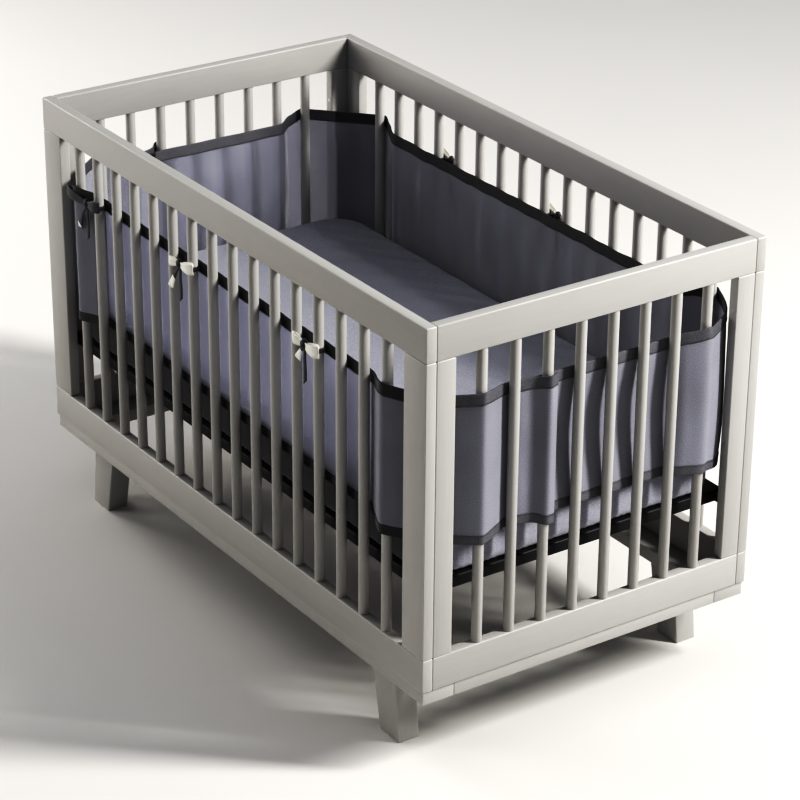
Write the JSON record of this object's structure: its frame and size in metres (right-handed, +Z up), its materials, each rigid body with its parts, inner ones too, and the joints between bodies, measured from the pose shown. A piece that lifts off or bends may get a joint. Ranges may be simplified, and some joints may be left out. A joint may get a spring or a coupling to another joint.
{
  "type": "crib bumper on a crib",
  "caption": "Sheer mesh crib liner with satin binding and ribbon ties, woven through the round spindles of a slatted crib with splayed feet and a mattress.",
  "frame": {"origin": "on the floor under the middle of the crib", "axes": "+X along the crib's length, +Y across it from the front side to the back, +Z up"},
  "size_m": [1.3772, 0.7572, 0.876],
  "materials": {
    "painted_wood": "satin",
    "support_metal": "satin",
    "fitted_sheet": "matte",
    "mesh_cloth": "matte",
    "satin_binding": "satin",
    "tie_ribbon": "satin"
  },
  "bodies": {
    "root": {"front_top_rail": "painted_wood", "front_grille": "painted_wood", "front_stile_left": "painted_wood", "front_stile_right": "painted_wood", "front_base": "painted_wood", "back_top_rail": "painted_wood", "back_grille": "painted_wood", "back_stile_left": "painted_wood", "back_stile_right": "painted_wood", "back_base": "painted_wood", "left_top_rail": "painted_wood", "left_grille": "painted_wood", "left_stile_front": "painted_wood", "left_stile_back": "painted_wood", "left_base": "painted_wood", "right_top_rail": "painted_wood", "right_grille": "painted_wood", "right_stile_front": "painted_wood", "right_stile_back": "painted_wood", "right_base": "painted_wood", "foot_left_front": "painted_wood", "foot_left_back": "painted_wood", "foot_right_front": "painted_wood", "foot_right_back": "painted_wood", "mattress_support": "support_metal", "mattress": "fitted_sheet", "liner_front_panel": "mesh_cloth", "liner_back_panel": "mesh_cloth", "binding_front_top": "satin_binding", "binding_front_bottom": "satin_binding", "binding_back_top": "satin_binding", "binding_back_bottom": "satin_binding", "tie_front_left": "tie_ribbon", "tie_front_mid": "tie_ribbon", "tie_front_right": "tie_ribbon", "tie_back_left": "tie_ribbon", "tie_back_mid": "tie_ribbon", "tie_back_right": "tie_ribbon"}
  },
  "joints": []
}
